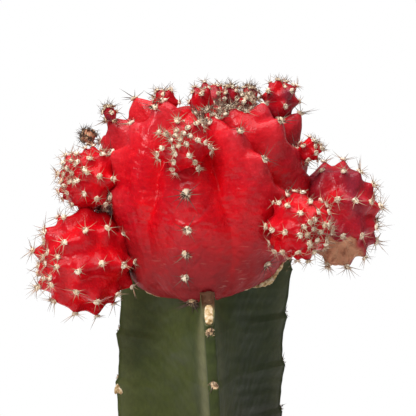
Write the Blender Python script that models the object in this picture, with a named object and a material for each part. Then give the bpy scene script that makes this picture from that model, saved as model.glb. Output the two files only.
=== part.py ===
"""Potted moon cactus: a red grafted scion with its offsets, on a green three-winged
rootstock, planted in a plain terracotta pot.

Lengths are metres. The origin is on the pot's axis, on the surface it stands on, with +Z up.
The front of the plant faces -Y. An azimuth is in degrees from -Y towards +X, and an
elevation is in degrees up from the horizontal.
"""

import bmesh
import bpy
import numpy as np
from mathutils import Vector

MM = 0.001

# Pot
POT_HEIGHT = 84 * MM
POT_BASE_RADIUS = 33 * MM
POT_NECK_RADIUS = 45 * MM
POT_RIM_RADIUS = 50 * MM
POT_RIM_HEIGHT = 20 * MM
POT_FLOOR = 6 * MM
POT_INNER_BASE_RADIUS = 28.5 * MM
POT_INNER_TOP_RADIUS = 44.5 * MM
DRAIN_RADIUS = 6.5 * MM
TURNED_SEGMENTS = 48

# Soil
GAP = 0.3 * MM
SOIL_TOP = 72 * MM
SOIL_MOUND = 1.8 * MM

# Rootstock
STOCK_BOTTOM = 38 * MM
STOCK_TOP = 141 * MM
WING_RADII = (26 * MM, 25 * MM, 27 * MM)
VALLEY_RADIUS = 5.25 * MM
WING_EDGE = 1.7 * MM
WING_ROOT = 7.4 * MM
WING_AZIMUTHS = (-0.4, 119.6, 239.6)
WING_TWIST = 150  # degrees per metre, downwards
# Each wing's shoulder is cut down for the graft from this radius out: drop there, at the edge
WING_CUT_STARTS = (11 * MM, 9 * MM, 9 * MM)
WING_INNER_CUTS = (8.8 * MM, 0 * MM, 0.5 * MM)
WING_EDGE_CUTS = (12.5 * MM, 0 * MM, 4 * MM)
WING_FLARES = (0 * MM, 2.2 * MM, -0.8 * MM)
AREOLE_PITCH = 13.2 * MM
STOCK_RING_PITCH = 3.3 * MM

# Scion
HEAD_CENTRE = Vector((0, 0, 158 * MM))
HEAD_RADIUS = 26.5 * MM
HEAD_SEGMENTS = 60
HEAD_RINGS = 30
# The head's own outline: elevation, share of HEAD_RADIUS
HEAD_OUTLINE = (
    (-90, 1.03), (-65, 1.03), (-53, 1.0), (-38, 0.965), (-20, 0.972), (0, 0.985),
    (12, 1.01), (25, 1.06), (40, 1.12), (55, 1.11), (70, 1.03), (90, 0.97),
)
# Grooves between the head's ribs: azimuth at these elevations
GROOVE_ELEVATIONS = (-60, -20, 0, 20, 40, 60)
GROOVES = (
    (22, 17, 11, 7, 2, -5),
    (76, 70, 62, 46, 29, 12),
    (118, 110, 104, 92, 74, 60),
    (160, 152, 148, 136, 118, 112),
    (196, 192, 188, 186, 182, 184),
    (232, 232, 232, 236, 246, 250),
    (268, 272, 274, 280, 294, 300),
    (314, 318, 322, 326, 330, 334),
)
# Broad swellings of the head: azimuth, elevation, height in mm, width in degrees
HEAD_SWELLS = ((-52, -47, 3.2, 26), (48, -55, 0.9, 20), (-4, -62, 0.8, 16))
# Tubercles of the head: azimuth, elevation, height in mm above the rib
HEAD_TUBERCLES = (
    (-11, 6, 1.2), (-11, -14, 1.0), (-13, -35, 0.7), (-15, -49, 0.5),
    (21, 37, 3.4), (34, 23, 3.4), (48, 6, 2.2), (52, -16, 1.0), (50, -38, 0.5),
    (56, 39, 4.6), (74, 60, 3.6), (90, 2, 1.6), (92, -22, 0.8),
    (92, 40, 5.6), (114, 20, 3.4), (126, -2, 1.8), (134, -26, 0.8),
    (146, 42, 4.2), (160, 20, 3.2), (168, 0, 1.8), (174, -26, 0.8),
    (212, 42, 4.2), (210, 20, 3.2), (210, -2, 1.8), (212, -28, 0.8),
    (240, 60, 3.4), (262, 29, 4.0), (252, 2, 1.8), (250, -26, 0.8),
    (272, 38, 5.6), (290, 60, 4.6), (312, 37, 3.6), (298, 22, 3.2), (296, 0, 1.4),
    (292, -22, 0.7), (326, 49, 3.0), (345, 40, 1.2), (20, 60, 2.6),
    (130, 62, 3.0), (190, 58, 3.0),
)

# Offsets: name, azimuth, elevation and reach of the centre, radius, stretch along the
# growing axis, azimuth and elevation of that axis, ribs, mesh segments
OFFSETS = (
    ("left_lower", -77, -26, 35.6, 13.2, 0.97, -62, 0, 9, 24),
    ("left_upper", -76, 11, 31.6, 8.8, 0.95, -40, 16, 8, 18),
    ("right_front", 48, -10, 31.2, 8.7, 1.0, 34, -8, 8, 18),
    ("right_back", 95, -6, 35.4, 14.0, 0.78, 98, -3, 9, 22),
    ("crown_front", -13, 31, 29.0, 6.7, 1.0, -12, 18, 7, 16),
    ("top_left", -60, 65, 28.6, 3.4, 1.1, -20, 72, 5, 12),
    ("top_mid", -20, 80, 26.2, 3.3, 1.45, 0, 88, 5, 12),
    ("top_spiny", 54, 74.5, 28.6, 2.6, 1.15, 20, 76, 5, 12),
    ("top_small", 51, 63, 28.8, 2.4, 1.0, 30, 50, 5, 12),
    ("top_dark", 90, 68.3, 29.7, 2.6, 1.1, 62, 72, 5, 12),
    ("top_right", 93, 54.6, 33.0, 4.4, 1.15, 80, 68, 6, 14),
    ("right_small", 78, 26, 30.3, 3.5, 1.1, 74, 34, 5, 12),
    ("left_stub", -84, 42, 34.4, 1.9, 1.2, -74, 62, 5, 10),
    ("dried", -94, 28, 35.6, 2.0, 1.1, -94, 30, 5, 10),
    ("back_left", -140, 12, 32.0, 8.4, 0.95, -136, 10, 8, 16),
    ("back_right", 152, -6, 33.0, 9.6, 0.95, 156, 0, 8, 18),
    ("back_top", 178, 57, 30.4, 5.2, 1.1, 176, 66, 6, 14),
)
# Offsets that touch: the first is hollowed where it meets the second
TOUCHING = (("left_lower", "left_upper"),)


# ------------------------------------------------------------------ small tools
def srgb(red, green, blue):
    """Linear colour of an 8-bit sRGB one."""
    shares = np.array((red, green, blue)) / 255.0
    low = shares / 12.92
    high = ((shares + 0.055) / 1.055) ** 2.4
    return (*np.where(shares <= 0.04045, low, high).tolist(), 1.0)


def material(name, colour, roughness):
    made = bpy.data.materials.new(name)
    made.use_nodes = True
    shader = made.node_tree.nodes["Principled BSDF"]
    shader.inputs["Base Color"].default_value = colour
    shader.inputs["Roughness"].default_value = roughness
    made.diffuse_color = colour
    return made


def new_object(name, bm, surface=None):
    """A smooth-shaded object from a bmesh whose faces look outwards."""
    mesh = bpy.data.meshes.new(name)
    bm.to_mesh(mesh)
    bm.free()
    for polygon in mesh.polygons:
        polygon.use_smooth = True
    made = bpy.data.objects.new(name, mesh)
    bpy.context.scene.collection.objects.link(made)
    if surface:
        mesh.materials.append(surface)
    return made


def helper(made):
    """Marks an object as a cutter, which is neither drawn nor part of the plant."""
    made.hide_render = True
    made.display_type = "WIRE"
    return made


def subtract(target, cutter):
    cut = target.modifiers.new("cut_" + cutter.name, "BOOLEAN")
    cut.operation = "DIFFERENCE"
    cut.solver = "EXACT"
    cut.object = cutter


def toward(azimuth, elevation):
    """Unit vector of an azimuth and an elevation in degrees."""
    a, e = np.radians(azimuth), np.radians(elevation)
    return np.array((np.sin(a) * np.cos(e), -np.cos(a) * np.cos(e), np.sin(e)))


def smooth_curve(x, places, values):
    """Cubic curve through the given points, level beyond the ends."""
    places, values = np.asarray(places, float), np.asarray(values, float)
    slopes = np.gradient(values, places)
    x = np.clip(x, places[0], places[-1])
    i = np.clip(np.searchsorted(places, x, side="right") - 1, 0, len(places) - 2)
    span = places[i + 1] - places[i]
    t = (x - places[i]) / span
    start = (2 * t**3 - 3 * t**2 + 1) * values[i] + (t**3 - 2 * t**2 + t) * span * slopes[i]
    return start + (3 * t**2 - 2 * t**3) * values[i + 1] + (t**3 - t**2) * span * slopes[i + 1]


def angle_between(directions, toward_one):
    """Angles in degrees from each direction to one of them."""
    return np.degrees(np.arccos(np.clip(directions @ toward_one, -1, 1)))


# ------------------------------------------------------------------ pot and soil
def turned(name, profile, surface, closed):
    """A solid turned round Z from a profile of (radius, height)."""
    bm = bmesh.new()
    ring = [bm.verts.new((radius, 0, height)) for radius, height in profile]
    edges = [bm.edges.new(pair) for pair in zip(ring, ring[1:])]
    if closed:
        edges.append(bm.edges.new((ring[-1], ring[0])))
    bmesh.ops.spin(
        bm, geom=ring + edges, axis=(0, 0, 1), cent=(0, 0, 0),
        angle=2 * np.pi, steps=TURNED_SEGMENTS, use_merge=True,
    )
    bmesh.ops.remove_doubles(bm, verts=bm.verts, dist=1e-6)
    bmesh.ops.recalc_face_normals(bm, faces=bm.faces)
    return new_object(name, bm, surface)


def inner_radius(height):
    """Radius of the pot's inside wall at a height."""
    share = (height - POT_FLOOR) / (POT_HEIGHT - POT_FLOOR)
    return POT_INNER_BASE_RADIUS + share * (POT_INNER_TOP_RADIUS - POT_INNER_BASE_RADIUS)


def pot_profile():
    rim_bottom = POT_HEIGHT - POT_RIM_HEIGHT
    return (
        (DRAIN_RADIUS, 0),
        (POT_BASE_RADIUS - 1.2 * MM, 0),
        (POT_BASE_RADIUS, 1.2 * MM),
        (POT_NECK_RADIUS, rim_bottom - 0.6 * MM),
        (POT_RIM_RADIUS - 2.4 * MM, rim_bottom),
        (POT_RIM_RADIUS - 1.2 * MM, rim_bottom + 1.2 * MM),
        (POT_RIM_RADIUS, POT_HEIGHT - 2.4 * MM),
        (POT_RIM_RADIUS - 0.7 * MM, POT_HEIGHT - 0.7 * MM),
        (POT_RIM_RADIUS - 2.4 * MM, POT_HEIGHT),
        (POT_INNER_TOP_RADIUS + 1.6 * MM, POT_HEIGHT - 0.4 * MM),
        (inner_radius(POT_HEIGHT - 2 * MM), POT_HEIGHT - 2 * MM),
        (inner_radius(POT_FLOOR + 2 * MM), POT_FLOOR + 2 * MM),
        (POT_INNER_BASE_RADIUS - 1.6 * MM, POT_FLOOR),
        (DRAIN_RADIUS, POT_FLOOR),
    )


def make_pot():
    surface = material("terracotta", srgb(190, 108, 74), 0.85)
    return turned("pot", pot_profile(), surface, closed=True)


def make_soil(stock_cutter):
    """The soil fills the pot, rises a little to the stem and is uneven on top."""
    surface = material("potting_soil", srgb(62, 45, 34), 0.95)
    low = POT_FLOOR + 2 * MM
    edge = inner_radius(SOIL_TOP) - GAP
    profile = (
        (0, POT_FLOOR + GAP),
        (POT_INNER_BASE_RADIUS - 2 * MM, POT_FLOOR + GAP),
        (inner_radius(low) - GAP, low + 0.2 * MM),
        (edge, SOIL_TOP - 0.8 * MM),
        (edge * 0.8, SOIL_TOP), (edge * 0.6, SOIL_TOP), (edge * 0.4, SOIL_TOP),
        (edge * 0.2, SOIL_TOP), (0, SOIL_TOP),
    )
    soil = turned("soil", profile, surface, closed=False)
    for vertex in soil.data.vertices:
        x, y, z = vertex.co
        reach = np.hypot(x, y) / edge
        if z < SOIL_TOP - 0.1 * MM or reach > 0.95:
            continue
        bumps = np.sin(310 * x + 1.3) * np.cos(270 * y) + np.sin(520 * y - 350 * x)
        vertex.co.z = SOIL_TOP + SOIL_MOUND * (1 - reach) + 0.35 * MM * bumps * (1 - reach**4)
    subtract(soil, stock_cutter)
    return soil


# ------------------------------------------------------------------ rootstock
def wing_outline(height, wing, grow):
    """Half of a wing's cross-section at a height: (distance out, half thickness)."""
    below = (STOCK_TOP - height) / AREOLE_PITCH + 0.37 * wing
    step = below % 1
    saw = 0.5 - 1.1 * step if step > 0.12 else -0.6 + 9.2 * step
    rise = np.clip((height - STOCK_TOP + 22 * MM) / (22 * MM), 0, 1)
    tip = WING_RADII[wing] + saw * MM + WING_FLARES[wing] * rise**2 + grow
    places = (0, 0.16, 0.38, 0.6, 0.8, 0.94)
    outs = [VALLEY_RADIUS + place * (tip - VALLEY_RADIUS) for place in places]
    halves = [WING_EDGE + WING_ROOT * (1 - place) ** 1.62 + grow for place in places]
    halves[0] = outs[0] * np.tan(np.radians(60))
    return list(zip(outs, halves)) + [(tip, 0.45 * WING_EDGE)]


def stock_ring(height, grow):
    """Points of the stock's cross-section, once round."""
    points = []
    for wing, azimuth in enumerate(WING_AZIMUTHS):
        turn = np.radians(azimuth + WING_TWIST * (STOCK_TOP - height))
        out = np.array((np.sin(turn), -np.cos(turn)))
        across = np.array((np.cos(turn), np.sin(turn)))
        outline = wing_outline(height, wing, grow)
        sides = [(s, -w) for s, w in outline] + [(s, w) for s, w in outline[:0:-1]]
        points += [out * s + across * w for s, w in sides]
    return points


def stock_mesh(grow=0.0):
    bm = bmesh.new()
    bottom, top = STOCK_BOTTOM - grow, STOCK_TOP + grow
    count = int(round((top - bottom) / STOCK_RING_PITCH))
    rings = []
    for level in np.linspace(bottom, top, count + 1):
        points = stock_ring(level, grow)
        rings.append([bm.verts.new((*point, level)) for point in points])
    for below, above in zip(rings, rings[1:]):
        for i in range(len(below)):
            j = (i + 1) % len(below)
            bm.faces.new((below[i], below[j], above[j], above[i]))
    bm.faces.new(rings[0][::-1])
    bm.faces.new(rings[-1])
    bmesh.ops.recalc_face_normals(bm, faces=bm.faces)
    return bm


def shoulder_cutter(wing, grow):
    """A wedge that bevels the top of one wing."""
    bm = bmesh.new()
    bmesh.ops.create_cube(bm, size=1)
    turn = np.radians(WING_AZIMUTHS[wing])
    out = np.array((np.sin(turn), -np.cos(turn)))
    across = np.array((np.cos(turn), np.sin(turn)))
    inner, outer = WING_CUT_STARTS[wing], WING_RADII[wing] + 6 * MM
    drop = WING_INNER_CUTS[wing]
    slope = (WING_EDGE_CUTS[wing] - drop) / (WING_RADII[wing] - inner)
    for vertex in bm.verts:
        far, side, up = (value > 0 for value in vertex.co)
        reach = outer if far else inner + grow
        low = STOCK_TOP - drop - slope * (reach - inner) + grow
        xy = out * reach + across * (20 * MM if side else -20 * MM)
        vertex.co = (*xy, STOCK_TOP + 5 * MM if up else low)
    bmesh.ops.recalc_face_normals(bm, faces=bm.faces)
    return helper(new_object(f"shoulder_{wing}", bm))


def make_stock(name, surface=None, grow=0.0):
    """The rootstock, or with a grow the cutter that leaves a gap round it."""
    stock = new_object(name, stock_mesh(grow), surface)
    for wing, depth in enumerate(WING_EDGE_CUTS):
        if depth > 0:
            subtract(stock, shoulder_cutter(wing, grow))
    return stock


# ------------------------------------------------------------------ scion
def head_groove(azimuths, elevations):
    """Depth of the grooves between the ribs, in mm."""
    lines = [smooth_curve(elevations, GROOVE_ELEVATIONS, line) for line in GROOVES]
    lines = np.array([lines[-1] - 360, *lines, lines[0] + 360, lines[1] + 360])
    turn = azimuths % 360
    depth = smooth_curve(
        elevations, (-75, -50, -25, 0, 20, 42, 62, 82), (0, 0.6, 1.6, 3.0, 4.0, 4.2, 2.6, 0)
    )
    groove = np.zeros_like(turn)
    for left, right in zip(lines, lines[1:]):
        inside = (turn >= left) & (turn < right)
        share = (turn - left) / (right - left)
        groove = np.where(inside, np.abs(2 * share - 1) ** 2.3, groove)
    return groove * depth


def tubercle(directions, centre, height, size):
    """A blunt cone on the skin, longer below its tip than above."""
    up = np.array((0, 0, 1)) - centre * centre[2]
    up /= max(np.linalg.norm(up), 1e-6)
    along = directions @ up
    stretch = np.where(along > 0, 1.2, 0.85)
    return height * np.exp(-1.2 * (angle_between(directions, centre) * stretch / size) ** 1.25)


def head_radius(directions):
    """Distance from the head's centre to its skin, in metres, along each direction."""
    elevations = np.degrees(np.arcsin(np.clip(directions[:, 2], -1, 1)))
    azimuths = np.degrees(np.arctan2(directions[:, 0], -directions[:, 1]))
    places, shares = zip(*HEAD_OUTLINE)
    radius = HEAD_RADIUS / MM * smooth_curve(elevations, places, shares)
    radius -= head_groove(azimuths, elevations) - 0.6
    for azimuth, elevation, height, size in HEAD_SWELLS:
        distance = angle_between(directions, toward(azimuth, elevation)) / size
        radius += height * np.exp(-1.4 * distance**2)
    for azimuth, elevation, height in HEAD_TUBERCLES:
        size = 10 if elevation > 12 else 8
        radius += tubercle(directions, toward(azimuth, elevation), height, size)
    return radius * MM


def globe(segments, rings):
    """A sphere's bmesh and the directions of its vertices."""
    bm = bmesh.new()
    bmesh.ops.create_uvsphere(bm, u_segments=segments, v_segments=rings, radius=1)
    return bm, np.array([vertex.co for vertex in bm.verts])


def place(bm, points):
    for vertex, point in zip(bm.verts, points):
        vertex.co = point


def make_scion():
    bm, directions = globe(HEAD_SEGMENTS, HEAD_RINGS)
    directions /= np.linalg.norm(directions, axis=1)[:, None]
    place(bm, np.array(HEAD_CENTRE) + directions * head_radius(directions)[:, None])
    surface = material("scion_skin", srgb(190, 24, 36), 0.4)
    return new_object("scion", bm, surface)


# ------------------------------------------------------------------ offsets
def axes_of(pole):
    """Two directions square to the growing axis, the first one level."""
    side = np.cross((0, 0, 1), pole)
    side = side / np.linalg.norm(side) if np.linalg.norm(side) > 0.05 else np.array((1.0, 0, 0))
    return side, np.cross(pole, side)


def offset_shape(local, radius, ribs, swell):
    """Skin of an offset in mm, for directions in its own frame, +Z being its tip."""
    latitude = np.degrees(np.arcsin(np.clip(local[:, 2], -1, 1)))
    turn = np.degrees(np.arctan2(local[:, 1], local[:, 0]))
    skin = np.full(len(local), 0.97 * radius) + swell
    ridge = 0.5 - 0.5 * np.cos(np.radians(ribs * turn))
    fade = np.clip(np.cos(np.radians(latitude)), 0, 1) ** 0.7
    skin -= 0.085 * radius * ridge * fade
    pitch = 26 if radius > 8 else 34
    for rib in range(ribs):
        for row in range(-1, 3):
            tip_lat = 8 + pitch * row + (pitch / 2 if rib % 2 else 0)
            if tip_lat > 74:
                continue
            a, e = np.radians(360 / ribs * rib), np.radians(tip_lat)
            tip = np.array((np.cos(a) * np.cos(e), np.sin(a) * np.cos(e), np.sin(e)))
            distance = angle_between(local, tip) / (0.42 * pitch)
            skin += 0.12 * radius * np.exp(-1.4 * distance**1.5)
    return skin * MM


def offset_mesh(spec, swell=0.0):
    """The bmesh of one offset. A swell in mm makes the cutter that leaves a gap round it."""
    _, azimuth, elevation, reach, radius, stretch, aim_az, aim_el, ribs, segments = spec
    bm, local = globe(segments, max(8, segments // 2 + 1))
    local /= np.linalg.norm(local, axis=1)[:, None]
    skin = offset_shape(local, radius, ribs, swell)
    pole = toward(aim_az, aim_el)
    side, lift = axes_of(pole)
    shape = local * skin[:, None] * np.array((1, 1, stretch))
    centre = np.array(HEAD_CENTRE) + toward(azimuth, elevation) * reach * MM
    place(bm, centre + shape[:, :1] * side + shape[:, 1:2] * lift + shape[:, 2:] * pole)
    return bm


def make_offsets(scion):
    made = {}
    cutters = {}
    for spec in OFFSETS:
        name = spec[0]
        surface = material("offset_skin_" + name, srgb(200, 34, 44), 0.42)
        made[name] = new_object("offset_" + name, offset_mesh(spec), surface)
        cutters[name] = helper(new_object("socket_" + name, offset_mesh(spec, GAP / MM)))
        subtract(scion, cutters[name])
    for hollowed, other in TOUCHING:
        subtract(made[hollowed], cutters[other])


def main():
    for old in list(bpy.data.objects):
        bpy.data.objects.remove(old, do_unlink=True)
    stock_cutter = helper(make_stock("stock_socket", grow=GAP))
    make_pot()
    make_soil(stock_cutter)
    make_stock("rootstock", material("rootstock_skin", srgb(58, 72, 42), 0.5))
    scion = make_scion()
    subtract(scion, stock_cutter)
    make_offsets(scion)


main()
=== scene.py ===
"""Potted moon cactus: the looks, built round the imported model.

A red scion with its offsets is grafted on a three-winged rootstock, in a terracotta pot.
Lengths are metres in the frame's own axes: the plant's front faces -Y, azimuths run from -Y
towards +X, and elevations run up from the horizontal, both in degrees.
"""

import bmesh
import bpy
import numpy as np
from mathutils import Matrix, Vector


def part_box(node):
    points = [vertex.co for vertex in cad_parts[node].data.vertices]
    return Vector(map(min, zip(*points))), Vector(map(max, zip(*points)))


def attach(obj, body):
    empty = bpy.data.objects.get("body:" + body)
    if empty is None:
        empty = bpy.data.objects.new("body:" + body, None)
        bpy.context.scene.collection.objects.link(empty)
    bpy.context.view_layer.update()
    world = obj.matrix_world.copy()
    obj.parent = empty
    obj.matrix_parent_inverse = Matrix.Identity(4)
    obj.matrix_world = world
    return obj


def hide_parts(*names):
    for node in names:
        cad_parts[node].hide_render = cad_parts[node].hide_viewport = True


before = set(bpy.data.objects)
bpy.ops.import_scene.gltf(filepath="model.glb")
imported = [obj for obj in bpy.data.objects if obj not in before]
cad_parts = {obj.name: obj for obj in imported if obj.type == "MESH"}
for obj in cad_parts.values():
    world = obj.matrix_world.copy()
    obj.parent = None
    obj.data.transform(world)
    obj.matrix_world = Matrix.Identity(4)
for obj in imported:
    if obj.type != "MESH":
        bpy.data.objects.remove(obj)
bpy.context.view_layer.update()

bl_info = {
    "name": "Potted moon cactus",
    "version": (1, 0, 0),
    "blender": (4, 5, 0),
    "location": "View3D > Sidebar > Moon cactus",
    "description": "Builds a grafted moon cactus in its pot",
    "category": "Add Mesh",
}

MM = 0.001

# ---------------------------------------------------------------- places read from the frame
SOIL_LOW, SOIL_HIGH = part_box("soil")
POT_LOW, POT_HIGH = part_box("pot")
STOCK_LOW, STOCK_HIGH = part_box("rootstock")
STOCK_TOP = STOCK_HIGH[2]
STOCK_BOTTOM = STOCK_LOW[2]
HEAD_CENTRE = np.array((0, 0, STOCK_TOP + 17 * MM))

# ---------------------------------------------------------------- the head's form
HEAD_RADIUS = 26.5
# Outline: elevation, share of the radius
HEAD_OUTLINE = (
    (-90, 1.0), (-65, 1.0), (-53, 0.99), (-38, 0.965), (-20, 0.972), (0, 0.985),
    (12, 1.0), (25, 1.035), (40, 1.07), (55, 1.06), (70, 1.0), (90, 0.96),
)
# Grooves between the ribs: azimuth at these elevations
GROOVE_ELEVATIONS = (-60, -20, 0, 20, 40, 60)
GROOVES = (
    (22, 17, 11, 7, 2, -5),
    (76, 70, 62, 46, 29, 12),
    (118, 110, 104, 92, 74, 60),
    (160, 152, 148, 136, 118, 112),
    (196, 192, 188, 186, 182, 184),
    (232, 232, 232, 236, 246, 250),
    (268, 272, 274, 280, 288, 300),
    (314, 318, 322, 326, 330, 334),
)
# Groove depth in mm: elevation, depth
GROOVE_DEPTH = ((-75, 0), (-50, 0.5), (-25, 1.5), (0, 2.9), (20, 4.4), (42, 5.0), (62, 3.2), (82, 0))
# Broad swellings and hollows: azimuth, elevation, height in mm, width in degrees
HEAD_SWELLS = (
    (-52, -47, 2.2, 22), (-84, -50, 3.0, 20), (0, -54, 3.6, 21), (80, -42, 1.6, 18),
    (-62, 52, -1.6, 20), (34, 8, 1.0, 16), (8, 60, -0.8, 12), (53, 66, -0.6, 10),
    (97, 13, 4.4, 17), (-92, -6, 6.0, 13), (-74, 50, 1.3, 12),
)
# Painted highlights, pale pink patches where the light catches the skin: azimuth, elevation, strength, width in
# degrees
HEAD_HIGHLIGHTS = (
    (-74, 38, 1.0, 10), (-36, 47, 0.7, 13), (-14, 50, 0.5, 10), (42, 30, 0.6, 8), (60, 47, 0.55, 9),
    (26, 44, 0.35, 12), (70, 6, 0.4, 11), (160, 30, 0.5, 16), (-130, 35, 0.5, 16),
)
# Tubercles: azimuth, elevation, height in mm above the rib
HEAD_TUBERCLES = (
    (-11, 7, 1.3), (-11, -12.5, 1.0), (-13, -28, 0.7), (-15, -41, 0.5), (-13, -57, 0.9),
    (19, 37, 3.6), (31, 23.5, 3.4), (48, 6, 2.4), (52, -16, 1.2), (50, -38, 0.6),
    (50, 41, 4.4), (60, 56.5, 6.5), (76, 30, 2.4), (90, 2, 1.4), (92, -22, 0.9),
    (92, 43, 5.6), (114, 20, 3.4), (126, -2, 2.2), (134, -26, 0.9),
    (146, 42, 4.6), (160, 20, 3.4), (168, 0, 2.0), (174, -26, 0.9),
    (212, 42, 4.6), (210, 20, 3.4), (210, -2, 2.0), (212, -28, 0.9),
    (240, 60, 3.8), (262, 29, 4.2), (252, 2, 2.0), (250, -26, 0.9),
    (272, 39, 6.2), (275, 55, 4.6), (284, 63, 4.0), (299, 43, 3.8), (292, 26, 3.6),
    (296, 4, 1.8), (292, -22, 0.8), (316, 52, 3.6), (310, 61, 3.6), (345, 40, 1.0),
    (24, 60, 2.6), (130, 62, 3.4), (190, 58, 3.4),
)
# Growing points: azimuth, elevation, and how many young areoles are crowded on each
HEAD_CROWNS = ((5, 61, 18), (40, 64, 16), (165, 76, 14))

# The chins on the front rib that have a crease round them: azimuth, elevation
CHINS = ((-11, -8.5), (-13, -24.5), (-15, -37.5))
# Elevation of the one areole that hangs over the graft
HANGING_ELEVATION = -57
# Turn between one areole and the next on a growing point, in degrees
GOLDEN_TURN = 137.5

# ---------------------------------------------------------------- the offsets' form
# Growing axis (azimuth, elevation), stretch along it, ribs, degrees between areoles, share of dark
# flesh, mesh segments
OFFSETS = {
    "left_lower": (-62, 0, 0.97, 9, 25, 0.0, 128),
    "left_upper": (-40, 16, 0.95, 8, 24, 0.05, 112),
    "right_front": (34, -8, 1.0, 8, 24, 0.08, 112),
    "right_back": (98, -3, 0.78, 9, 26, 0.6, 128),
    "crown_front": (-12, 18, 1.0, 7, 21, 0.1, 96),
    "top_left": (-20, 72, 1.1, 4, 50, 0.1, 56),
    "top_mid": (0, 88, 1.45, 4, 52, 0.15, 56),
    "top_spiny": (20, 76, 1.15, 5, 36, 0.4, 48),
    "top_small": (30, 50, 1.0, 5, 40, 0.4, 48),
    "top_dark": (62, 72, 1.1, 5, 36, 0.8, 48),
    "top_right": (80, 68, 1.1, 5, 44, 0.4, 80),
    "right_small": (74, 34, 1.1, 5, 44, 0.0, 64),
    "left_stub": (-74, 62, 1.2, 4, 48, 0.5, 40),
    "dried": (-94, 30, 1.1, 5, 34, 1.0, 40),
    "back_left": (-136, 10, 0.95, 8, 25, 0.1, 96),
    "back_right": (156, 0, 0.95, 8, 25, 0.1, 96),
    "back_top": (176, 66, 1.1, 6, 34, 0.2, 64),
}

# ---------------------------------------------------------------- the rootstock's form, in mm
WING_RADII = (26, 25, 27)
WING_AZIMUTHS = (-0.4, 119.6, 239.6)
WING_TWIST = 150  # degrees per metre, downwards
WING_FLARES = (0, 2.2, -0.8)
# Where on each wing the areoles' notches fall, in shares of the pitch
WING_PHASES = (0.94, 0.92, 0.58)
VALLEY_RADIUS = 5.25
# Half a wing's thickness at its edge, and what it gains towards the valley
WING_EDGE = 1.4
WING_ROOT = 6.1
# Share of the way from the valley to the tip where the flat blade turns into the round edge
BLADE_SHARE = 0.8
AREOLE_PITCH = 13.2 * MM
# Where each wing's shoulder is cut for the graft: start radius, drop there, drop at the edge
SHOULDERS = ((20, 5.2, 12.6), (9, 0, 0), (9, 0.5, 4))
# Within this radius the stock's core runs on up into the head, in mm
HIDDEN_REACH = 9
# Crusts on the cut front wing: distances out, widths, share of dark, lumps, seed
GRAFT_CRUSTS = {
    "graft_cork_strip": ((22.3, 23.5, 24.7, 25.9), (2.1, 2.4, 2.4, 2.0), 0.0, 0.06, 41),
    "graft_brown_callus": ((19.4, 20.5, 21.5, 22.4), (2.2, 2.7, 2.4, 1.4), 0.3, 0.3, 43),
}
# Corky lips under the head: azimuths and elevations on its skin, widths, seed
GRAFT_LIPS = {
    "graft_lip_right": (((78, -62), (77, -57), (77, -52), (78, -46), (80, -38)), (1.2, 2.6, 3.6, 2.4, 1.2), 51),
    "graft_lip_front": (((56, -66), (62, -64), (68, -63), (74, -62)), (0.5, 0.8, 0.9, 0.9), 53),
    "graft_lip_left": (((-66, -62), (-74, -60), (-82, -57), (-88, -54)), (0.4, 0.6, 0.8, 0.6), 55),
    "graft_lip_back": (((120, -60), (160, -64), (200, -62), (240, -58)), (0.7, 1.2, 0.9, 0.7), 57),
}
# The chip in the left wing's edge: depth below the top, and back, sideways and up along it
CHIP_DEPTH = 35.4
CHIP_PATH = ((-0.1, 0.9, 0.5), (0.8, 1.3, 0.2), (1.8, 1.6, -0.3), (2.9, 2.0, -0.7))
# Dead dry patches on offsets: azimuth and elevation from the offset's middle, width in degrees
SCARS = {"right_back": (-26, -66, 44)}
# Lobes that bulge from offsets: azimuth, elevation, height in shares of the radius, width in degrees
LOBES = {
    "right_back": ((-76, 42, 0.26, 34), (-10, -76, 0.22, 28)),
    "top_right": (
        (10, -75, 0.42, 42), (80, -20, 0.2, 30), (-50, 34, 0.2, 20), (50, 26, 0.24, 18), (0, 4, 0.2, 18),
    ),
    "right_small": ((-60, -30, 0.3, 40),),
    "left_lower": ((-10, 66, 0.1, 40),),
    "left_stub": ((60, -60, 0.5, 50),),
}
# How old and dark the wool of some offsets is, and of all the others
OLD_WOOL = {"dried": 1.2, "top_spiny": 0.4, "top_dark": 0.5, "left_stub": 0.5}
YOUNG_WOOL = 0.2

# ---------------------------------------------------------------- the pot's and the soil's form, in mm
# Corners of the pot's wall: radius and height, for the rim and height below
POT_RIM, POT_HEIGHT = 50, 84
POT_CORNERS = (
    (6.5, 0), (31.8, 0), (33, 1.2), (45, 63.4), (47.6, 64), (48.8, 65.2), (50, 81.6), (49.3, 83.3),
    (47.6, 84), (46.1, 83.6), (44.1, 82), (28.9, 8), (26.9, 6), (6.5, 6),
)
SOIL_MOUND = 1.6
# Points round a turned ring
RING = 160


# ---------------------------------------------------------------- numbers and directions
def linear(hex_colour):
    """Linear RGBA of an sRGB hex colour."""
    shares = np.array([int(hex_colour[i : i + 2], 16) for i in (1, 3, 5)]) / 255
    high = ((shares + 0.055) / 1.055) ** 2.4
    return (*np.where(shares <= 0.04045, shares / 12.92, high).tolist(), 1.0)


def toward(azimuth, elevation):
    """Unit vectors of azimuths and elevations in degrees."""
    a, e = np.radians(azimuth), np.radians(elevation)
    return np.stack((np.sin(a) * np.cos(e), -np.cos(a) * np.cos(e), np.sin(e) + 0 * a), axis=-1)


def unit(vectors):
    return vectors / np.maximum(np.linalg.norm(vectors, axis=-1, keepdims=True), 1e-9)


def smooth_curve(x, points):
    """Cubic curve through (place, value) points, level beyond the ends."""
    places, values = np.array(points, float).T
    slopes = np.gradient(values, places)
    x = np.clip(x, places[0], places[-1])
    i = np.clip(np.searchsorted(places, x, side="right") - 1, 0, len(places) - 2)
    span = places[i + 1] - places[i]
    t = (x - places[i]) / span
    start = (2 * t**3 - 3 * t**2 + 1) * values[i] + (t**3 - 2 * t**2 + t) * span * slopes[i]
    return start + (3 * t**2 - 2 * t**3) * values[i + 1] + (t**3 - t**2) * span * slopes[i + 1]


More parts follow.
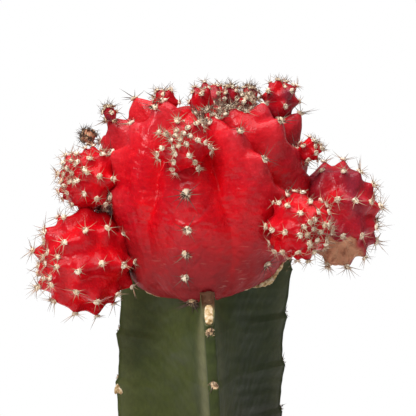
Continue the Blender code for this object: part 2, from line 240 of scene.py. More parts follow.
def smoothstep(low, high, x):
    t = np.clip((x - low) / (high - low), 0, 1)
    return t * t * (3 - 2 * t)


def ripple(points, wavelength, seed):
    """Smooth uneven waves, about -1 to 1, with the given wavelength in the points' unit."""
    rng = np.random.default_rng(seed)
    waves = unit(rng.normal(size=(10, 3))) * rng.uniform(0.7, 1.5, (10, 1)) * 2 * np.pi / wavelength
    return np.sin(points @ waves.T + rng.uniform(0, 2 * np.pi, 10)).sum(axis=1) / 3.2


def axes_of(pole):
    """Two directions square to a growing axis, the first one level."""
    side = np.cross((0, 0, 1), pole)
    side = unit(side) if np.linalg.norm(side) > 0.05 else np.array((1.0, 0, 0))
    return side, np.cross(pole, side)


# ---------------------------------------------------------------- objects
def link(name, mesh):
    made = bpy.data.objects.new(name, mesh)
    bpy.context.scene.collection.objects.link(made)
    return made


def set_attributes(mesh, attributes):
    for name, values in attributes.items():
        values = np.asarray(values, np.float32)
        kind, field = ("FLOAT_VECTOR", "vector") if values.ndim == 2 else ("FLOAT", "value")
        mesh.attributes.new(name, kind, "POINT").data.foreach_set(field, values.ravel())


def mesh_object(name, points, faces, attributes=None, material=None):
    """A smooth-shaded object of a mesh given in the frame's own axes."""
    mesh = bpy.data.meshes.new(name)
    mesh.from_pydata(np.asarray(points).tolist(), [], faces)
    mesh.shade_smooth()
    set_attributes(mesh, attributes or {})
    if material:
        mesh.materials.append(material)
    return link(name, mesh)


def globe_object(name, segments, skin, material):
    """A closed skin grown from a sphere; skin gives points and attributes for directions."""
    bm = bmesh.new()
    bmesh.ops.create_uvsphere(bm, u_segments=segments, v_segments=segments * 5 // 8, radius=1)
    mesh = bpy.data.meshes.new(name)
    bm.to_mesh(mesh)
    bm.free()
    directions = np.empty(len(mesh.vertices) * 3, np.float32)
    mesh.vertices.foreach_get("co", directions)
    points, attributes = skin(unit(directions.reshape(-1, 3).astype(float)))
    mesh.vertices.foreach_set("co", points.astype(np.float32).ravel())
    mesh.shade_smooth()
    set_attributes(mesh, attributes)
    mesh.materials.append(material)
    return link(name, mesh)


def lofted_faces(rings, count, closed_ends=True):
    """Faces between rings of points, each ring closed on itself."""
    faces = []
    for r in range(rings - 1):
        for i in range(count):
            j = (i + 1) % count
            faces.append((r * count + i, r * count + j, (r + 1) * count + j, (r + 1) * count + i))
    if closed_ends:
        faces.append(tuple(range(count))[::-1])
        faces.append(tuple(range((rings - 1) * count, rings * count)))
    return faces


def pot_outline():
    """Radius and height round the pot's wall, from the drain hole out, up and back down inside,
    with its corners rounded."""
    corners = np.array(POT_CORNERS) * MM * (POT_HIGH[0] / (POT_RIM * MM), POT_HIGH[2] / (POT_HEIGHT * MM))
    sharp = (0, len(corners) - 1)
    outline = []
    for i, corner in enumerate(corners):
        after = corners[(i + 1) % len(corners)]
        before = corners[i - 1]
        near = min(0.3 * MM, 0.3 * np.linalg.norm(after - corner), 0.3 * np.linalg.norm(before - corner))
        start = corner + unit(before - corner) * near
        end = corner + unit(after - corner) * near
        if i in sharp:
            outline += [corner]
        else:
            outline += [start, (start + 2 * corner + end) / 4, end]
        steps = int(np.linalg.norm(after - corner) / (0.9 * MM))
        outline += [end + (after - end) * k / (steps + 1) for k in range(1, steps)]
    return np.array(outline)


def keep(piece, slot, *nodes):
    """Says what a finished piece rides on and hides the nodes it stands for; slot, its finish, is not used."""
    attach(piece, "root")
    if nodes:
        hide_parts(*nodes)


def outward_faces(piece):
    """Turns a closed piece's faces outwards."""
    bm = bmesh.new()
    bm.from_mesh(piece.data)
    bmesh.ops.recalc_face_normals(bm, faces=bm.faces)
    bm.to_mesh(piece.data)
    bm.free()


def crust(name, path, widths, heights, up, seed, material, lumps=0.3):
    """A lumpy crust lying along a path: widths across it, heights along up, tapered to its ends."""
    path = np.array(path)
    places = np.linspace(0, len(path) - 1, len(path))
    fine = np.linspace(0, len(path) - 1, 14 * (len(path) - 1) + 1)
    line = np.stack([smooth_curve(fine, list(zip(places, path[:, i]))) for i in range(3)], axis=1)
    wide = smooth_curve(fine, list(zip(places, widths)))
    high = smooth_curve(fine, list(zip(places, heights)))
    ends = np.sqrt(np.clip(1 - np.abs(2 * fine / fine[-1] - 1) ** 6, 0.004, 1))
    ahead = unit(np.gradient(line, axis=0))
    up = unit(np.array(up) - ahead * (ahead @ np.array(up))[:, None])
    across = np.cross(ahead, up)
    turn = 2 * np.pi * np.arange(18) / 18
    rings = (
        line[:, None]
        + across[:, None] * (wide * ends / 2)[:, None, None] * np.cos(turn)[None, :, None]
        + up[:, None] * (high * ends / 2)[:, None, None] * np.sin(turn)[None, :, None]
    )
    points = rings.reshape(-1, 3)
    middle = np.repeat(line, len(turn), axis=0)
    points = middle + (points - middle) * (
        1 + lumps * ripple(points / MM, 1.9, seed) + 0.4 * lumps * ripple(points / MM, 0.6, seed + 1)
    )[:, None]
    made = mesh_object(name, points, lofted_faces(len(fine), len(turn)), material=material)
    outward_faces(made)
    return made


# ---------------------------------------------------------------- node trees
def set_inputs(tree, node, inputs):
    """Links a node's inputs to sockets, or sets them to values."""
    for name, value in inputs.items():
        if isinstance(value, bpy.types.NodeSocket):
            tree.links.new(value, node.inputs[name])
        else:
            node.inputs[name].default_value = value


def add(tree, kind, inputs=None, **settings):
    """Adds a node, with its settings and with its inputs linked or set."""
    made = tree.nodes.new(kind)
    for name, value in settings.items():
        setattr(made, name, value)
    set_inputs(tree, made, inputs or {})
    return made


def maths(tree, kind, *values, clamp=False):
    return add(tree, "ShaderNodeMath", dict(enumerate(values)), operation=kind, use_clamp=clamp).outputs[0]


def rgba(colour):
    """RGBA of a grey level or a colour setting; a socket stays as it is."""
    if isinstance(colour, bpy.types.NodeSocket):
        return colour
    return (colour, colour, colour, 1.0) if isinstance(colour, (int, float)) else (*colour, 1.0)


def ramp_of(tree, factor, *stops):
    """A colour ramp node's colour; stops are (place, colour)."""
    made = add(tree, "ShaderNodeValToRGB", {"Fac": factor})
    elements = made.color_ramp.elements
    while len(elements) < len(stops):
        elements.new(0.5)
    for element, (place, colour) in zip(elements, stops):
        element.position = place
        element.color = rgba(colour)
    return made.outputs["Color"]


def tinted(tree, first, second, factor=1.0, blend="MIX"):
    """Two colours mixed by a factor."""
    inputs = {0: factor, 6: rgba(first), 7: rgba(second)}
    return add(tree, "ShaderNodeMix", inputs, data_type="RGBA", blend_type=blend).outputs[2]


def ranged(tree, value, low, high, to_low, to_high):
    """A value moved from one range to another."""
    inputs = {"Value": value, "From Min": low, "From Max": high, "To Min": to_low, "To Max": to_high}
    return add(tree, "ShaderNodeMapRange", inputs).outputs[0]


def noise(tree, vector, scale, detail, roughness=0.6):
    """A noise texture; its scale is waves per metre."""
    inputs = {"Vector": vector, "Scale": scale, "Detail": detail, "Roughness": roughness}
    return add(tree, "ShaderNodeTexNoise", inputs).outputs["Fac"]


def cells(tree, vector, scale, feature="F1"):
    """Distances in a cell texture; its scale is cells per metre."""
    inputs = {"Vector": vector, "Scale": scale}
    return add(tree, "ShaderNodeTexVoronoi", inputs, feature=feature).outputs["Distance"]


def attribute(tree, name):
    return add(tree, "ShaderNodeAttribute", attribute_name=name).outputs["Fac"]


def new_material(name):
    """A material with an empty Principled shader, and its tree."""
    material = bpy.data.materials.new(name)
    material.use_nodes = True
    return material, material.node_tree


def coordinates(tree):
    """The object's own coordinates, in metres."""
    return add(tree, "ShaderNodeTexCoord").outputs["Object"]


def finished(material, colour, roughness, specular, relief=None, **others):
    """Fills in a material's shader; relief is a height, its strength and its depth in mm."""
    tree = material.node_tree
    inputs = {"Base Color": colour, "Roughness": roughness, "Specular IOR Level": specular}
    if relief:
        height, strength, depth = relief
        bump = add(tree, "ShaderNodeBump", {"Height": height, "Strength": strength, "Distance": depth * MM})
        inputs["Normal"] = bump.outputs["Normal"]
    inputs.update({name.replace("_", " "): value for name, value in others.items()})
    set_inputs(tree, tree.nodes["Principled BSDF"], inputs)
    return material


# ---------------------------------------------------------------- materials
def flesh_material(sizes, colours, name="waxy_cactus_flesh"):
    """Red flesh under a thin waxy skin: satin, finely dimpled, brighter down in the furrows, duller and
    brownish towards the graft and darkened there as painted shade, with a painted pale highlight on the crests
    and thin pale scratches."""
    material, tree = new_material(name)
    place = coordinates(tree)
    furrow, crest_highlight, low, shade, dry, scar = (
        attribute(tree, key) for key in ("furrow", "crest_highlight", "low", "shade", "dry", "scar")
    )

    def clamped(kind, *values):
        return maths(tree, kind, *values, clamp=True)

    cloud = noise(tree, place, 110, 4)  # patches of about 9 mm
    mottle = noise(tree, place, 620, 5, 0.65)  # flecks of about 1.5 mm
    # Scratches about 4 mm long and 0.5 mm wide
    scratched = add(tree, "ShaderNodeMapping", {"Vector": place, "Scale": (260, 260, 2100)}).outputs[0]
    scratch = ramp_of(tree, noise(tree, scratched, 1, 2), (0.63, 0.0), (0.72, 1.0))
    patch = ramp_of(tree, cloud, (0.38, 0.0), (0.62, 1.0))
    flesh = tinted(tree, colours.flesh_face, colours.flesh_furrow, furrow)
    flesh = tinted(tree, flesh, colours.flesh_deep, clamped("MULTIPLY", patch, 0.55))
    # Painted highlight: pale pink where the light catches the crests and the listed patches
    bloom = clamped("MULTIPLY", clamped("MULTIPLY", crest_highlight, mottle), 0.55)
    flesh = tinted(tree, flesh, colours.flesh_highlight, bloom)
    # Lower flesh: partly old, duller flesh near the graft, partly painted shade on the underside
    aged_and_shaded = clamped("MULTIPLY", low, clamped("ADD", clamped("MULTIPLY", cloud, 0.9), 0.45))
    flesh = tinted(tree, flesh, colours.flesh_low_aged_and_shaded, aged_and_shaded)
    flesh = tinted(tree, flesh, colours.flesh_dark, shade)
    flesh = tinted(tree, flesh, colours.scratch, clamped("MULTIPLY", scratch, scar))
    cork = tinted(tree, colours.dried, colours.dried_dark, ramp_of(tree, mottle, (0.45, 0.0), (0.7, 1.0)))
    flesh = tinted(tree, flesh, cork, dry)
    flesh = tinted(tree, flesh, ramp_of(tree, mottle, (0.3, 0.86), (0.7, 1.12)), 1.0, "MULTIPLY")
    dull = clamped("MAXIMUM", dry, clamped("MULTIPLY", low, 0.8))
    rough = clamped("MULTIPLY_ADD", dull, 0.45, ranged(tree, mottle, 0.3, 0.7, 0.18, 0.3))
    dimples = cells(tree, place, 1 / sizes.skin_cell, "SMOOTH_F1")
    relief = maths(tree, "MULTIPLY_ADD", noise(tree, place, 330, 3), 3.0, dimples)  # swells of about 3 mm
    return finished(
        material, flesh, rough, 0.21, (relief, 0.6, 0.14), IOR=1.42, Subsurface_Weight=0.2,
        Subsurface_Radius=(1.0, 0.15, 0.1), Subsurface_Scale=1.5 * MM,
    )


def stem_material(colours):
    """Skin of a dragon-fruit stem: dark waxy green with olive patches, darker towards +X as painted shade,
    faint growth bands across, a painted highlight on the flank beside each edge and a few corky specks."""
    material, tree = new_material("dragon_fruit_stem_skin")
    place = coordinates(tree)
    cloud = noise(tree, place, 48, 4)  # patches of about 2 cm
    mottle = noise(tree, place, 900, 4)  # pores of about 1 mm
    # Painted shade: the skin turns from olive on the lit -X side to darker green on the shaded +X side
    side = add(tree, "ShaderNodeSeparateXYZ", {0: place}).outputs["X"]
    tone = maths(tree, "ADD", cloud, ranged(tree, side, -12 * MM, 12 * MM, 0.14, -0.14))
    skin = ramp_of(tree, tone, (0.34, colours.stem_green), (0.66, colours.stem_olive))
    # Painted highlight on the flanks beside the wings' edges, and the pale cut faces of the shoulders
    skin = tinted(tree, skin, colours.stem_flank_highlight, attribute(tree, "flank"))
    bands = add(
        tree, "ShaderNodeTexWave",
        {"Vector": place, "Scale": 60, "Distortion": 9, "Detail": 3, "Detail Scale": 1.5},
        bands_direction="Z",
    ).outputs["Fac"]
    skin = tinted(tree, skin, ramp_of(tree, bands, (0.0, 0.93), (1.0, 1.05)), 1.0, "MULTIPLY")
    skin = tinted(tree, skin, ramp_of(tree, mottle, (0.3, 0.85), (0.72, 1.15)), 1.0, "MULTIPLY")
    specks = ramp_of(tree, cells(tree, place, 170), (0.05, 0.9), (0.09, 0.0))  # one in about 6 mm
    rare = ramp_of(tree, noise(tree, place, 75, 1), (0.6, 0.0), (0.66, 1.0))  # groups about 13 mm apart
    skin = tinted(tree, skin, colours.cork, maths(tree, "MULTIPLY", specks, rare))
    skin = tinted(tree, skin, colours.cork_dark, attribute(tree, "cut"))
    relief = maths(tree, "MULTIPLY_ADD", bands, 0.5, mottle)
    rough = ranged(tree, cloud, 0.3, 0.7, 0.42, 0.56)
    return finished(material, skin, rough, 0.25, (relief, 0.4, 0.1), IOR=1.42)


def cork_material(name, colours, darker):
    """Dried callus and cork: matte, tan, cracked, with brown in the cracks."""
    material, tree = new_material(name)
    place = coordinates(tree)
    grain = noise(tree, place, 900, 5, 0.7)  # grains of about 1 mm
    cracks = cells(tree, place, 1500, "DISTANCE_TO_EDGE")  # plates of about 0.7 mm
    stops = ((0.3, colours.cork_dark), (0.46, colours.cork), (0.72, colours.wool))
    tone = ramp_of(tree, grain, *((place + darker, colour) for place, colour in stops))
    return finished(material, tone, 0.85, 0.2, (maths(tree, "MULTIPLY_ADD", cracks, 0.6, grain), 0.7, 0.3))


def wool_material(colours):
    """Short cream wool of an areole: matte and soft, tan where it is old."""
    material, tree = new_material("areole_wool")
    place = coordinates(tree)
    grain = noise(tree, place, 1400, 4, 0.7)  # tufts of about 0.7 mm
    mixed = maths(tree, "MULTIPLY_ADD", attribute(tree, "tone"), 0.35, grain)
    tone = ramp_of(tree, mixed, (0.42, colours.wool), (0.78, colours.wool_old), (0.92, colours.cork_dark))
    return finished(material, tone, 0.95, 0.15, Sheen_Weight=0.25)


def spine_material(colours):
    """Horn-like spines: straw, grey-brown towards the tip, some darker than others."""
    material, tree = new_material("cactus_spine_horn")
    stops = ((0.0, colours.spine_base), (0.35, colours.spine_base), (0.9, colours.spine_tip))
    tone = ramp_of(tree, attribute(tree, "along"), *stops)
    dark = ramp_of(tree, attribute(tree, "tone"), (0.25, 0.0), (0.75, 1.0))
    return finished(material, tinted(tree, tone, colours.spine_tip, dark), 0.45, 0.26)


def terracotta_material(colours):
    """Unglazed fired clay: matte orange-brown, mottled, with fine grit and a pale mineral bloom."""
    material, tree = new_material("unglazed_terracotta")
    place = coordinates(tree)
    cloud = noise(tree, place, 38, 6)  # patches of about 26 mm
    grit = noise(tree, place, 1300, 4, 0.7)  # grit of about 0.8 mm
    clay = ramp_of(tree, cloud, (0.3, colours.clay_dark), (0.5, colours.clay), (0.74, colours.clay_bloom))
    clay = tinted(tree, clay, ramp_of(tree, grit, (0.3, 0.84), (0.7, 1.12)), 1.0, "MULTIPLY")
    return finished(material, clay, 0.88, 0.25, (maths(tree, "MULTIPLY_ADD", cloud, 2.0, grit), 0.5, 0.18))


def soil_material(colours, name, pale):
    """Peat, bark and grit: matte and dark, each crumb a little different; pale for perlite."""
    material, tree = new_material(name)
    place = coordinates(tree)
    grain = noise(tree, place, 480, 6, 0.7)  # grains of about 2 mm
    mixed = maths(tree, "MULTIPLY_ADD", attribute(tree, "tone"), 0.4, grain)
    stops = ((0.35, colours.soil_dark), (0.6, colours.soil), (0.88, colours.bark))
    if pale:
        stops = ((0.4, colours.perlite), (0.9, colours.wool_old))
    return finished(material, ramp_of(tree, mixed, *stops), 0.95, 0.15, (grain, 0.8, 0.6))


def floor_material():
    """Matte white paint, as on a studio table."""
    material, tree = new_material("matte_white_paint")
    place = coordinates(tree)
    grain = noise(tree, place, 300, 3, 0.5)  # grain of about 3 mm
    tone = ramp_of(tree, grain, (0.3, 0.86), (0.7, 0.88))
    return finished(material, tone, 0.8, 0.5, Emission_Color=rgba(1.0), Emission_Strength=0.22)


# ---------------------------------------------------------------- Geometry Nodes
def open_tree(name, source, numbers):
    """A tree with its named inputs: the tree, the inputs' identifiers, and their sockets in it."""
    tree = bpy.data.node_groups.new(name, "GeometryNodeTree")
    kinds = {source: "Geometry", "Pattern": "Object", "Material": "Material"}
    kinds |= dict.fromkeys(numbers, "Float") | {"Seed": "Int"}
    defaults = {**numbers, "Seed": 1}
    names = {}
    for label, kind in kinds.items():
        made = tree.interface.new_socket(name=label, in_out="INPUT", socket_type="NodeSocket" + kind)
        if label in defaults:
            made.default_value = defaults[label]
        names[label] = made.identifier
    tree.interface.new_socket(name="Grown", in_out="OUTPUT", socket_type="NodeSocketGeometry")
    return tree, names, tree.nodes.new("NodeGroupInput").outputs


def close_tree(tree, given, points, rotation, scale, tone):
    """Puts the pattern on points, each copy with its own tone, makes the copies real and gives
    them their material."""
    pattern = add(tree, "GeometryNodeObjectInfo", {"Object": given["Pattern"]}).outputs["Geometry"]
    grown = add(
        tree, "GeometryNodeInstanceOnPoints",
        {"Points": points, "Instance": pattern, "Rotation": rotation, "Scale": scale},
    ).outputs[0]
    grown = add(
        tree, "GeometryNodeStoreNamedAttribute", {"Geometry": grown, "Name": "tone", "Value": tone},
        data_type="FLOAT", domain="INSTANCE",
    ).outputs[0]
    real = add(tree, "GeometryNodeRealizeInstances", {"Geometry": grown}).outputs[0]
    inputs = {"Geometry": real, "Material": given["Material"]}
    add(tree, "NodeGroupOutput", {0: add(tree, "GeometryNodeSetMaterial", inputs).outputs[0]})


def growth_tree():
    """What grows on areoles: every point of the input, with its outward and upward directions,
    carries a number of copies of a pattern that fan out round it."""
    tree, names, given = open_tree(
        "areole_growth", "Areoles",
        {
            "Count": 7.0, "Radius": 0.12 * MM, "Length": 3 * MM, "Tilt low": 40.0, "Tilt high": 80.0,
            "Spread": 0.0, "Lift": 0.0, "Uneven": 0.3, "Darker": 0.0,
        },
    )

    def named(name, kind="FLOAT"):
        return add(tree, "GeometryNodeInputNamedAttribute", {"Name": name}, data_type=kind).outputs[0]

    def chance(low, high, seed):
        picked = number("ADD", given["Seed"], seed)
        return add(tree, "FunctionNodeRandomValue", {2: low, 3: high, 8: picked}).outputs[1]

    def number(kind, *values):
        return maths(tree, kind, *values)

    def vector(kind, first, second):
        return add(tree, "ShaderNodeVectorMath", {0: first, 1: second}, operation=kind).outputs["Vector"]

    def scaled(first, size):
        return add(tree, "ShaderNodeVectorMath", {0: first, 3: size}, operation="SCALE").outputs["Vector"]

    count = number("MULTIPLY", given["Count"], named("richness"))
    inputs = {"Geometry": given["Areoles"], "Amount": count}
    copies = add(tree, "GeometryNodeDuplicateElements", inputs, domain="POINT").outputs
    outward, upward = (named(key, "FLOAT_VECTOR") for key in ("outward", "upward"))
    size = named("size")
    share = number("DIVIDE", copies["Duplicate Index"], number("MAXIMUM", number("FLOOR", count), 1.0))
    share = number("ADD", share, chance(-0.08, 0.08, 11))
    turn = number("MULTIPLY", number("SUBTRACT", share, 0.5), named("arc"))
    sideways = scaled(vector("CROSS_PRODUCT", outward, upward), number("SINE", turn))
    across = vector("ADD", sideways, scaled(upward, number("MULTIPLY", number("COSINE", turn), -1.0)))
    tilt = number("RADIANS", chance(given["Tilt low"], given["Tilt high"], 23))
    aim = vector("ADD", scaled(outward, number("COSINE", tilt)), scaled(across, number("SINE", tilt)))
    away = number("MULTIPLY", number("MULTIPLY", given["Spread"], size), number("SQRT", chance(0.0, 1.0, 37)))
    shift = vector("ADD", scaled(across, away), scaled(outward, number("MULTIPLY", given["Lift"], size)))
    moved = add(tree, "GeometryNodeSetPosition", {"Geometry": copies["Geometry"], "Offset": shift}).outputs[0]
    turned = add(tree, "FunctionNodeAlignRotationToVector", {"Vector": aim}, axis="Z").outputs[0]
    inputs = {"Axis": (0, 0, 1), "Angle": chance(0.0, 6.283, 41)}
    roll = add(tree, "FunctionNodeAxisAngleToRotation", inputs).outputs[0]
    inputs = {"Rotation": turned, "Rotate By": roll}
    turned = add(tree, "FunctionNodeRotateRotation", inputs, rotation_space="LOCAL").outputs[0]
    uneven = number("ADD", 1.0, number("MULTIPLY", given["Uneven"], chance(-1.0, 0.5, 53)))
    width = number("MULTIPLY", given["Radius"], number("POWER", size, 0.5))
    length = number("MULTIPLY", number("MULTIPLY", given["Length"], named("reach")), uneven)
    scale = add(tree, "ShaderNodeCombineXYZ", {0: width, 1: width, 2: length}).outputs[0]
    age = number("ADD", named("age"), given["Darker"])
    close_tree(tree, given, moved, turned, scale, number("MULTIPLY_ADD", chance(-0.5, 0.5, 67), 0.6, age))
    return tree, names


def crumb_tree():
    """Crumbs strewn over a surface, by density, size and seed."""
    tree, names, given = open_tree(
        "strewn_crumbs", "Ground", {"Density": 1e5, "Small": 0.5 * MM, "Large": 1.5 * MM}
    )
    inputs = {"Mesh": given["Ground"], "Density": given["Density"], "Seed": given["Seed"]}
    strewn = add(tree, "GeometryNodeDistributePointsOnFaces", inputs).outputs["Points"]
    inputs = {0: (0, 0, 0), 1: (6.283, 6.283, 6.283), 8: given["Seed"]}
    spin = add(tree, "FunctionNodeRandomValue", inputs, data_type="FLOAT_VECTOR").outputs[0]
    spin = add(tree, "FunctionNodeEulerToRotation", {"Euler": spin}).outputs[0]
    chance = add(tree, "FunctionNodeRandomValue", {2: 0.0, 3: 1.0, 8: given["Seed"]}).outputs[1]
    inputs = {"Value": maths(tree, "POWER", chance, 2.5), "To Min": given["Small"], "To Max": given["Large"]}
    size = add(tree, "ShaderNodeMapRange", inputs).outputs[0]
    tone = add(tree, "FunctionNodeRandomValue", {2: -0.5, 3: 0.9, 8: 77}).outputs[1]
    close_tree(tree, given, strewn, spin, size, tone)
    return tree, names


def grown_piece(name, base, tree_and_names, values):
    """Runs a tree on a base object and keeps its result as a plain mesh."""
    tree, names = tree_and_names
    modifier = base.modifiers.new("growth", "NODES")
    modifier.node_group = tree
    for label, value in values.items():
        modifier[names[label]] = value
    bpy.context.view_layer.update()
    evaluated = base.evaluated_get(bpy.context.evaluated_depsgraph_get())
    mesh = bpy.data.meshes.new_from_object(evaluated)
    mesh.name = name
    base.modifiers.remove(modifier)
    if not mesh.polygons:
        raise RuntimeError(f"{name} came out empty")
    mesh.shade_smooth()
    return link(name, mesh)


def remove(*objects):
    for old in objects:
        bpy.data.objects.remove(old, do_unlink=True)


def thorn_pattern(name, sides, steps, bend):
    """A unit spine along +Z: tapered, a little bent, with its place along it as an attribute."""
    points = []
    along = []
    for step in range(steps):
        height = step / steps
        width = (1 - height) ** 0.8
        for side in range(sides):
            a = 2 * np.pi * side / sides
            points.append((width * np.cos(a) + bend * height**2, width * np.sin(a), height))
            along.append(height)
    points.append((bend, 0, 1))
    along.append(1)
    faces = lofted_faces(steps, sides, closed_ends=False)
    last = (steps - 1) * sides
    faces += [(last + i, last + (i + 1) % sides, steps * sides) for i in range(sides)]
    faces.append(tuple(range(sides))[::-1])
    return mesh_object(name, points, faces, {"along": along})


def lump_pattern(name, seed, flatness=1.0):
    """A unit crumb of a few dozen faces, uneven."""
    bm = bmesh.new()
    bmesh.ops.create_uvsphere(bm, u_segments=8, v_segments=5, radius=1)
    points = np.array([v.co for v in bm.verts])
    points *= 1 + 0.3 * ripple(points, 2.2, seed)[:, None]
    points[:, 2] *= flatness
    for vertex, point in zip(bm.verts, points):
        vertex.co = point
    mesh = bpy.data.meshes.new(name)
    bm.to_mesh(mesh)
    bm.free()
    return link(name, mesh)


# ---------------------------------------------------------------- skins
def head_groove(azimuths, elevations):
    """How far each place lies into a groove between ribs, 0 on the rib to 1."""
    lines = [smooth_curve(elevations, list(zip(GROOVE_ELEVATIONS, line))) for line in GROOVES]
    lines = [lines[-1] - 360, *lines, lines[0] + 360, lines[1] + 360]
    turn = azimuths % 360
    groove = np.zeros_like(turn)
    for left, right in zip(lines, lines[1:]):
        inside = (turn >= left) & (turn < right)
        share = (turn - left) / np.maximum(right - left, 1e-6)
        groove = np.where(inside, np.abs(2 * share - 1) ** 2.3, groove)
    return groove


def bump_at(directions, azimuth, elevation, width):
    """A blunt cone round a place, 1 at its tip, with a chin below and a dip above its areole."""
    centre = toward(azimuth, elevation)
    side, lift = axes_of(centre)
    ahead = directions @ centre
    across = np.degrees(np.arctan2(directions @ side, ahead)) / width
    rise = np.degrees(np.arctan2(directions @ lift, ahead)) / width
    dip = 0.22 * np.exp(-(((rise - 0.78) / 0.3) ** 2) - across**2)
    rise = np.where(rise > 0, rise / 0.72, rise / 1.4)
    return np.exp(-1.1 * (np.abs(across) ** 1.75 + np.abs(rise) ** 1.75) ** 0.86) - dip


def chin_creases(azimuths, elevations):
    """Faint U-shaped creases round the chins on the front rib, each just above the next areole."""
    crease = np.zeros_like(azimuths)
    for azimuth, elevation in CHINS:
        across = azimuths - azimuth
        line = elevation + 0.055 * across**2
        crease += np.exp(-(((elevations - line) / 1.1) ** 2)) * smoothstep(17, 10, np.abs(across))
    return crease


def head_skin(directions):
    """Points of the head's skin and its colour attributes, for directions from its centre."""
    elevations = np.degrees(np.arcsin(np.clip(directions[:, 2], -1, 1)))
    azimuths = np.degrees(np.arctan2(directions[:, 0], -directions[:, 1]))
    groove = head_groove(azimuths + 1.5 * ripple(directions, 0.5, 6), elevations)
    depth = smooth_curve(elevations, GROOVE_DEPTH)
    radius = HEAD_RADIUS * smooth_curve(elevations, HEAD_OUTLINE) - groove * depth - 0.6
    for azimuth, elevation, height, width in HEAD_SWELLS:
        angle = np.degrees(np.arccos(np.clip(directions @ toward(azimuth, elevation), -1, 1)))
        radius += height * np.exp(-1.4 * (angle / width) ** 2)
    crest_highlight = np.zeros(len(directions))
    for azimuth, elevation, height in HEAD_TUBERCLES:
        bump = bump_at(directions, azimuth, elevation, np.interp(elevation, (0, 15, 50, 65), (8, 9, 8, 6)))
        radius += height * bump
        crest_highlight = np.maximum(crest_highlight, bump * min(height / 3, 1))
    # Painted highlights, laid into the crest mask
    for azimuth, elevation, strength, width in HEAD_HIGHLIGHTS:
        angle = np.degrees(np.arccos(np.clip(directions @ toward(azimuth, elevation), -1, 1)))
        crest_highlight = np.maximum(crest_highlight, strength * np.exp(-((angle / width) ** 2)))
    crease = chin_creases(azimuths, elevations)
    radius -= 0.3 * crease
    radius += 0.25 * ripple(directions * HEAD_RADIUS, 8, 3) + 0.08 * ripple(directions * HEAD_RADIUS, 2.2, 4)
    points = HEAD_CENTRE + directions * radius[:, None] * MM
    # Lower flesh: partly old flesh near the graft, partly painted shade on the underside
    low = smoothstep(-5, -50, elevations)
    maroon = smoothstep(8, 38, elevations) * smoothstep(28, 60, azimuths) * smoothstep(130, 100, azimuths)
    maroon *= np.clip(0.32 + 0.3 * ripple(directions, 0.45, 21), 0, 0.7) * (1 - 0.6 * np.clip(crest_highlight, 0, 1))
    scar = np.exp(-(((azimuths - 22) / 13) ** 2) - (((elevations + 52) / 6) ** 2))
    return points, {
        "furrow": groove * np.clip(depth / 3, 0, 1), "crest_highlight": np.maximum(crest_highlight, 0.5 * crease), "low": low,
        "shade": maroon, "dry": 0 * low, "scar": np.maximum(scar, 0.06 + 0.16 * low),
    }


def offset_tips(name):
    """Directions of an offset's areoles in its own frame, and how young each is, 0 to 1."""
    ribs, pitch = OFFSETS[name][3:5]
    rng = np.random.default_rng(len(name) * 7 + ribs)
    tips = []
    youth = []
    for rib in range(ribs):
        for row in range(-2, 5):
            latitude = 6 + pitch * row + (pitch / 2 if rib % 2 else 0)
            if -46 < latitude < 68:
                turn = 360 / ribs * rib + rng.normal(0, 0.09 * pitch)
                tips.append((turn, latitude + rng.normal(0, 0.07 * pitch)))
                youth.append(max(0, latitude / 90))
    crown = 5 if pitch > 30 else 10
    for k in range(crown):
        tips.append((GOLDEN_TURN * k, 90 - 3.2 * (24 / 180 * pitch) * np.sqrt(k + 0.3)))
        youth.append(1)
    turns, latitudes = np.radians(np.array(tips).T)
    local = np.stack(
        (np.cos(turns) * np.cos(latitudes), np.sin(turns) * np.cos(latitudes), np.sin(latitudes)), axis=1
    )
    return local, np.array(youth)


def offset_shape(name, local):
    """Skin of an offset of radius 1 in its own frame, +Z being its tip, and its attributes."""
    _, _, stretch, ribs, pitch, shade, _ = OFFSETS[name]
    latitude = np.degrees(np.arcsin(np.clip(local[:, 2], -1, 1)))
    turn = np.degrees(np.arctan2(local[:, 1], local[:, 0])) + 5 * ripple(local, 0.9, ribs + 2)
    ridge = np.abs(np.sin(np.radians(ribs * turn / 2))) ** 2.2
    fade = np.clip(np.cos(np.radians(latitude)), 0, 1) ** 0.7
    radius = 0.96 - 0.075 * ridge * fade
    crest_highlight = np.zeros(len(local))
    tips, youth = offset_tips(name)
    up = np.array((0, 0, 1.0))
    tall = np.interp(pitch, (27, 36, 46), (0.15, 0.24, 0.36))
    for tip, young in zip(tips, youth):
        toward_pole = unit(up - tip * tip[2])
        sideways = np.cross(toward_pole, tip)
        ahead = local @ tip
        across = np.degrees(np.arctan2(local @ sideways, ahead)) / (0.4 * pitch)
        rise = np.degrees(np.arctan2(local @ toward_pole, ahead)) / (0.4 * pitch)
        rise = np.where(rise > 0, rise / 0.8, rise / 1.25)
        bump = np.exp(-1.3 * (np.abs(across) ** 1.75 + np.abs(rise) ** 1.75) ** 0.86)
        radius += (tall if young < 1 else tall / 3) * bump
        crest_highlight = np.maximum(crest_highlight, bump)
    radius -= 0.05 * smoothstep(70, 90, latitude)
    radius += 0.025 * ripple(local, 0.8, 5 + ribs) + 0.006 * ripple(local, 0.22, 15 + ribs)
    shape = local * radius[:, None] * np.array((1, 1, stretch))
    # The crest mask carries a faint painted highlight on the offset's tubercles
    values = {"furrow": (0.35 + 0.65 * ridge) * fade * (1 - crest_highlight), "crest_highlight": 0.24 * crest_highlight}
    # Painted shade on the offset's underside
    values["low"] = 0.3 * smoothstep(-20, -75, latitude)
    values["shade"] = np.clip(shade * (1 + 0.9 * ripple(local, 1.3, ribs + 40)), 0, 1)
    values["dry"] = np.full(len(local), 1.0 if name == "dried" else 0.0)
    values["scar"] = 0.25 * smoothstep(20, -60, latitude)
    return shape, values


